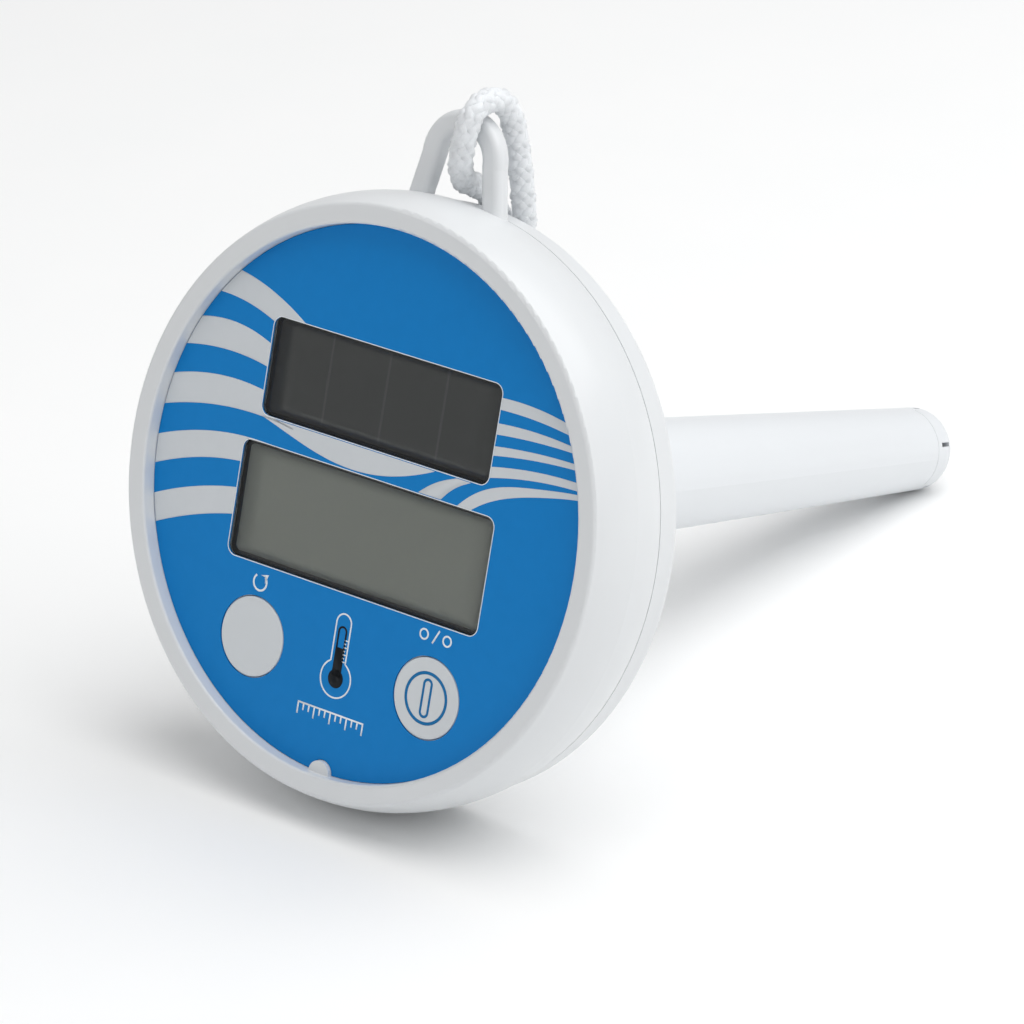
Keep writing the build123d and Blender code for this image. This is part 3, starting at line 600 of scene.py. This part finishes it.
crossing_waves = [
    (
        [(19.4, 4.7), (23.5, 8.2), (30.0, 10.7), (37.8, 12.1), (46.5, 12.9)],
        [(22.3, 4.7), (27.0, 7.6), (31.6, 9.3), (38.0, 10.9), (46.5, 12.2)],
    ),
    (
        [(-24.8, 9.24), (0.0, 9.24), (14.0, 9.24)],
        [(-24.8, 9.2), (-16.4, 7.0), (-4.5, 5.1), (5.4, 6.2), (13.8, 9.2)],
    ),
]
left_span = (-47.0, -17.5)
right_span = (25.1, 47.0)
crossing_spans = ((19.5, 47.0), (-24.7, 13.7))
parts = [film(wave(upper, lower, left_span)) for upper, lower in left_waves]
parts += [film(wave(upper, lower, right_span)) for upper, lower in right_waves]
for (upper, lower), span in zip(crossing_waves, crossing_spans):
    parts.append(film(wave(upper, lower, span)))

# A short slanted wave fills the strip between the two windows. Its sides bow a little.
slant_low, slant_high = 4.95, 9.25
slant_bow = 0.35
share = np.linspace(0, 1, 40)[:, None]
bow = slant_bow * np.sin(np.pi * share) * np.array([-1.0, 1.0])
slant = []
for foot_x, top_x in ((11.0, 18.5), (15.9, 21.6)):
    foot, top = np.array([foot_x, slant_low]), np.array([top_x, slant_high])
    slant.append(foot * (1 - share) + top * share + bow)
parts.append(film(np.stack(slant, axis=1)))
piece("printed_waves", parts, wave_ink, "thermometer", smooth=False)

# A painted highlight: a thin strip of white ink round each opening stands in for the light that the
# film's cut edges catch.
edge_width = 0.14
edge_overlap = 0.02
painted_edge_highlights = []
for centre, size in ((display_centre, display_opening), (solar_centre, solar_opening)):
    edge = stroke(rounded_outline(centre, size, opening_corner), edge_width, True)
    painted_edge_highlights.append(film(edge, True, -edge_overlap, film_thickness + edge_overlap))
# These white strips are painted highlight, not printed lines.
piece("painted_highlight_strips", painted_edge_highlights, line_ink, "thermometer", smooth=False)

# Behind each window lies its own sheet: the display's polariser and the solar cell's front.
window_back = -1.6
sheet_gap = 0.02
sheet_thickness = 0.2
sheet_trim = 0.1
display_border = 0.8
solar_border = 0.6
sheet_top = window_back - sheet_gap
for name, centre, size, border, slot_name in (
    ("display_polariser", display_centre, display_opening, display_border, "display"),
    ("solar_front_sheet", solar_centre, solar_opening, solar_border, "solar"),
):
    inner = (size[0] - 2 * border - sheet_trim, size[1] - 2 * border - sheet_trim)
    sheet = plate(centre, inner, opening_corner - border)
    part = film(sheet, True, sheet_top - sheet_thickness, sheet_top)
    piece(name, [part], finishes[slot_name], "thermometer", smooth=False)

# A thermometer drawn in outline between the keys, with tick marks beside its stem.
icon_x = -0.1
bulb_place = (icon_x, -30.5)
bulb_reach = 3.3
stem_half = 1.6
stem_place = (icon_x, -20.8)
outline_width = 0.28
meet = np.degrees(np.arcsin(stem_half / bulb_reach))
stem_arc = arc(stem_place, stem_half, 0, 180, 18)
bulb_arc = arc(bulb_place, bulb_reach, 90 + meet, 450 - meet, 60)
marks = [ink(np.concatenate([stem_arc, bulb_arc]), outline_width, True)]
tick_width = 0.22
tick_pitch = 0.62
tick_start = icon_x + 0.72
for step in range(7):
    tick_y = -23.6 - tick_pitch * step
    tick_end = icon_x + (1.15 if step % 2 else 1.4)
    marks.append(ink([(tick_start, tick_y), (tick_end, tick_y)], tick_width))

# Over the left key, a turning arrow.
arrow_place = (reset_place[0], -18.8)
arrow_radius = 1.45
arrow_width = 0.36
turning = arc(arrow_place, arrow_radius, 130, 410, 40)
marks.append(ink(turning, arrow_width))
head_base = turning[-1] + np.array([[-0.95, 0.15], [0.0, 0.0]])
head_point = turning[-1] + np.array([[0.75, 0.55], [0.15, -1.15]])
marks.append(film(np.stack([head_base, head_point], axis=1)))

# Over the right key, two degree rings with a slash between them.
degree_y = -17.9
degree_radius = 0.85
degree_width = 0.32
for shift in (-2.5, 2.5):
    ring = arc((unit_place[0] + shift, degree_y), degree_radius, 0, 354, 60)
    marks.append(ink(ring, degree_width, True))
slash_foot = (unit_place[0] - 0.55, -19.0)
slash_top = (unit_place[0] + 0.65, -16.6)
marks.append(ink([slash_foot, slash_top], degree_width))

# Under the drawn thermometer, a row of scale marks that hang from a line.
scale_y = -36.6
scale_pitch = 1.2
scale_width = 0.3
scale_half = 7.35
for step in range(13):
    scale_x = -7.2 + scale_pitch * step
    drop = 1.9 if step % 3 == 0 else 1.1
    marks.append(ink([(scale_x, scale_y), (scale_x, scale_y - drop)], scale_width))
bar_y = scale_y + scale_width / 2
marks.append(ink([(-scale_half, bar_y), (scale_half, bar_y)], scale_width))
piece("printed_lines", marks, line_ink, "thermometer", smooth=False)

# The drawn thermometer's tube, and the column that stands half way up in it.
tube_half = 0.82
tube_top = -22.3
tube_foot = -25.2
tube_width = 0.36
column_top = -25.1
column_foot = -30.2
column_width = 2.0
drop_radius = 0.82              # middle of a ring so wide that it leaves no hole to be seen
drop_width = 1.62
column = [ink(arc((icon_x, tube_top), tube_half, 0, 180, 18), tube_width)]
for side_x in (icon_x - tube_half, icon_x + tube_half):
    column.append(ink([(side_x, tube_top), (side_x, tube_foot)], tube_width))
column.append(ink([(icon_x, column_top), (icon_x, column_foot)], column_width))
column.append(ink(arc(bulb_place, drop_radius, 0, 354, 60), drop_width, True))
piece("printed_column", column, navy_ink, "thermometer", smooth=False)

# On the unit key, a bar in a ring. It rides on the key.
ring_radius = 4.3
ring_width = 0.55
bar_size = (1.6, 6.4)
bar_width = 0.45
sign = [
    ink(arc(unit_place, ring_radius, 0, 356, 90), ring_width, True),
    ink(capsule(unit_place, *bar_size), bar_width, True),
]
piece("unit_key_sign", sign, key_ink, "unit_key", smooth=False)


# ================================================================== tether
def smooth_line(name, points):
    """A NURBS line with the route's points as its control points."""
    curve = bpy.data.curves.new(name, "CURVE")
    curve.dimensions = "3D"
    curve.resolution_u = 12
    spline = curve.splines.new("NURBS")
    spline.points.add(len(points) - 1)
    spline.points.foreach_set("co", np.column_stack([points, np.ones(len(points))]).ravel())
    spline.order_u = 3
    spline.use_endpoint_u = True
    return bpy.data.objects.new(name, curve)


def line_points(line):
    """Places along a curve with no bevel, as its own mesh gives them."""
    bpy.context.scene.collection.objects.link(line)
    mesh = bpy.data.meshes.new_from_object(line.evaluated_get(bpy.context.evaluated_depsgraph_get()))
    places = np.zeros(len(mesh.vertices) * 3)
    mesh.vertices.foreach_get("co", places)
    bpy.data.meshes.remove(mesh)
    bpy.data.objects.remove(line)
    return places.reshape(-1, 3)


def length_along(places):
    """How far along a line each of its places is."""
    gaps = np.linalg.norm(np.diff(places, axis=0), axis=1)
    return np.concatenate([[0], np.cumsum(gaps)])


def even(places, step):
    """The same line with its places about a step apart."""
    along = length_along(places)
    want = np.linspace(0, along[-1], int(along[-1] / step) + 1)
    return np.stack([np.interp(want, along, places[:, k]) for k in range(3)], axis=1)


def carried_frame(places):
    """Directions along and square to a line. Each square direction starts from one fixed
    direction, and the turn it makes about the line from place to place is added up and undone."""
    fixed = np.array([0.55, 0.35, 0.76])
    ahead = np.gradient(places, axis=0)
    ahead /= np.linalg.norm(ahead, axis=1, keepdims=True)
    aside = np.cross(ahead, fixed)
    aside /= np.linalg.norm(aside, axis=1, keepdims=True)
    above = np.cross(ahead, aside)
    carried = aside[:-1] - np.sum(aside[:-1] * ahead[1:], axis=1, keepdims=True) * ahead[1:]
    twist = np.arctan2(np.sum(carried * above[1:], axis=1), np.sum(carried * aside[1:], axis=1))
    turned = np.concatenate([[0], np.cumsum(twist)])[:, None]
    steady_aside = aside * np.cos(turned) + above * np.sin(turned)
    steady_above = above * np.cos(turned) - aside * np.sin(turned)
    return ahead, steady_aside, steady_above


def capped_tube(centre, rings, length_mm):
    """A closed tube through rings of corners, with its ends drawn to the centre line's own ends."""
    corners = rings.shape[1]
    start = np.repeat(centre[:1, None], corners, 1)
    stop = np.repeat(centre[-1:, None], corners, 1)
    capped = np.concatenate([start, rings, stop])
    quads = grid_quads(len(capped), corners, False, True)
    uv = grid_uv(len(capped), corners, False, True, length_mm, 1.0)
    return capped.reshape(-1, 3), quads, uv


# A strand of the rope at its full diameter: how far it runs from the rope's middle, how far it
# rises and falls as it crosses the others, and half its thickness and width.
strand_middle = 1.42 * MM
strand_rise = 0.34 * MM
strand_thick = 0.58 * MM
strand_wide = 0.92 * MM
core_radius = 1.15 * MM
table_clearance = 0.04 * MM


def braid(places, diameter, pairs=6, lay=0.0135, corners=8):
    """A braid round a line: strand k winds one way or the other at the angle 2 pi (x / lay + k /
    pairs), and its distance from the middle rises and falls as cos(2 pi pairs x / lay), the other
    way round for the strands that wind back, so that each passes over one and under the next."""
    ahead, aside, above = carried_frame(places)
    along = length_along(places)
    length_mm = along[-1] / MM
    scale = diameter / rope_diameter
    middle, rise = strand_middle * scale, strand_rise * scale
    thick, wide = strand_thick * scale, strand_wide * scale
    around_strand = np.linspace(0, FULL_TURN, corners, endpoint=False)
    cosine = np.cos(around_strand)[None, :, None]
    sine = np.sin(around_strand)[None, :, None]
    parts = []
    for hand in (1, -1):
        reach = middle + hand * rise * np.cos(FULL_TURN * pairs * along / lay)
        for strand in range(pairs):
            angle = (hand * FULL_TURN * along / lay + FULL_TURN * strand / pairs)[:, None]
            outward = aside * np.cos(angle) + above * np.sin(angle)
            around = above * np.cos(angle) - aside * np.sin(angle)
            heading = ahead + around * hand * FULL_TURN * middle / lay
            heading /= np.linalg.norm(heading, axis=1, keepdims=True)
            flat = np.cross(outward, heading)
            centre = places + outward * reach[:, None]
            rings = centre[:, None] + outward[:, None] * (thick * cosine)
            rings = rings + flat[:, None] * (wide * sine)
            parts.append(capped_tube(centre, rings, length_mm))
    # Where the rope lies on the table its strands are pressed flat.
    for points, quads, uv in parts:
        points[:, 2] = np.maximum(points[:, 2], table_clearance)
    rings = places[:, None] + core_radius * scale * (aside[:, None] * cosine + above[:, None] * sine)
    parts.append(capped_tube(places, rings, length_mm))
    return parts


turn = np.linspace(0, coil_turns * FULL_TURN, int(coil_turns * points_per_turn) + 1)
spread = coil_outer_radius + (coil_inner_radius - coil_outer_radius) * turn / turn[-1]
coil_route = []
for angle, radius in zip(turn, spread):
    across = coil_centre[0] + radius * cos(angle)
    back = coil_centre[1] + radius * sin(angle)
    coil_route.append((across, back, coil_height))
# The tail's last point stands for the coil's first.
route_points = loop_route + tail_route + coil_route[1:] + end_route

rope_step = 0.0009
rope_places = even(line_points(smooth_line("rope_line", route_points)), rope_step)
tether = piece(
    "tether",
    braid(rope_places, rope_diameter),
    yarn,
    "thermometer",
    ("tether_loop", "tether_tail", "tether_coil", "tether_end"),
)


def overhand(centre, across, rise, lean):
    """A tied overhand knot: the trefoil x = sin t + 2 sin 2t, y = cos t - 2 cos 2t, z = -sin 3t,
    scaled across and along its axis, and leaned over."""
    t = np.linspace(0.0, FULL_TURN, 90)
    x = np.sin(t) + 2 * np.sin(2 * t)
    y = np.cos(t) - 2 * np.cos(2 * t)
    shape = np.stack([x, y, -np.sin(3 * t)], axis=1) * np.array([across, across, rise])
    leaned = np.array(Matrix.Rotation(lean[0], 3, "X") @ Matrix.Rotation(lean[1], 3, "Y"))
    return shape @ leaned.T + np.array(centre)


def stub(start, end, bow):
    """A short end of rope: the straight line from start to end, plus a bow that follows half a
    sine."""
    share = np.linspace(0, 1, 14)[:, None]
    return np.array(start) * (1 - share) + np.array(end) * share + np.array(bow) * np.sin(np.pi * share)


# A tied rope is drawn thinner where it is pulled tight, and its free end less so.
top_knot_rope = 0.0035
last_knot_rope = 0.0032
stub_rope = 0.0038
top_lean = (radians(70), radians(20))
last_lean = (radians(8), radians(6))
top_knot = braid(overhand(knot_centre, 0.00122, 0.0020, top_lean), top_knot_rope)
top_knot += braid(stub(knot_centre, (0.0072, -0.0322, 0.0772), (0.0006, 0.0, 0.0006)), stub_rope)
tether_knot = piece("tether_top_knot", top_knot, yarn, "thermometer", ("tether_knot",))
last_knot = braid(overhand(end_knot_centre, 0.00100, 0.0017, last_lean), last_knot_rope)
last_knot += braid(stub(end_knot_centre, (-0.0345, -0.0016, 0.0024), (0.0, 0.0008, 0.0006)), stub_rope)
end_knot = piece("tether_last_knot", last_knot, yarn, "thermometer", ("tether_end_knot",))

# ================================================================== floor, light and camera
half_floor = 3.0
floor_material, floor_tree, floor_shader = finish_of(
    "pale matt board", Roughness=0.9, Specular_IOR_Level=0.15
)
floor_place = add(floor_tree, "ShaderNodeTexCoord").outputs["Object"]
mottling = {"Vector": floor_place, "Scale": per_mm(30), "Detail": 4.0}
mottle = add(floor_tree, "ShaderNodeTexNoise", mottling)
shades = {"Factor": mottle.outputs["Fac"], "A": linear("#FBFBFB"), "B": linear("#F8F9F9")}
shade = add(floor_tree, "ShaderNodeMix", shades, data_type="RGBA")
floor_tree.links.new(shade.outputs[2], floor_shader.inputs["Base Color"])
floor_corners = [(half_floor * x, half_floor * y, 0) for x, y in ((-1, -1), (1, -1), (1, 1), (-1, 1))]
floor_mesh = bpy.data.meshes.new("floor")
floor_mesh.from_pydata(floor_corners, [], [(0, 1, 2, 3)])
floor_mesh.materials.append(floor_material)
floor = bpy.data.objects.new("floor", floor_mesh)
bpy.context.scene.collection.objects.link(floor)

world = bpy.data.worlds.new("studio")
world.use_nodes = True
sky = world.node_tree.nodes["Background"]
sky.inputs["Color"].default_value = (1.0, 1.0, 1.0, 1.0)
sky.inputs["Strength"].default_value = 0.44
bpy.context.scene.world = world


def softbox(name, place, target, size, power):
    """A square soft light that faces a target."""
    lamp = bpy.data.lights.new(name, "AREA")
    lamp.shape = "SQUARE"
    lamp.size = size
    lamp.energy = power
    made = bpy.data.objects.new(name, lamp)
    away = np.array(place) - np.array(target)
    away /= np.linalg.norm(away)
    side = np.cross(np.array([0.0, 0.01, 1.0]), away)
    side /= np.linalg.norm(side)
    turned = np.stack([side, np.cross(away, side), away], axis=1)
    made.location = place
    made.rotation_mode = "QUATERNION"
    made.rotation_quaternion = Matrix(turned.tolist()).to_quaternion()
    bpy.context.scene.collection.objects.link(made)


softbox("overhead", (0.35, 0.15, 1.0), (0.0, 0.0, 0.0), 1.3, 11.0)
softbox("right_side", (1.0, 0.1, 0.45), (0.0, 0.0, 0.05), 0.5, 0.5)
softbox("front_left", (-0.5, -1.1, 0.6), (0.0, -0.05, 0.05), 0.7, 0.7)

camera_data = bpy.data.cameras.new("camera")
camera_data.sensor_width = 36.0
camera_data.lens = 193.4
camera_data.clip_start = 0.01
camera_data.clip_end = 20.0
camera = bpy.data.objects.new("camera", camera_data)
camera_right = (0.7709, 0.6366, -0.0220)
camera_up = (-0.2520, 0.3364, 0.9074)
camera_back = (0.5850, -0.6940, 0.4198)
turned_camera = np.stack([camera_right, camera_up, camera_back], axis=1)
camera.rotation_mode = "QUATERNION"
camera.rotation_quaternion = Matrix(turned_camera.tolist()).to_quaternion()
camera.location = (0.5589, -0.6976, 0.4395)
bpy.context.scene.collection.objects.link(camera)
bpy.context.scene.camera = camera
bpy.context.scene.view_settings.view_transform = "Standard"
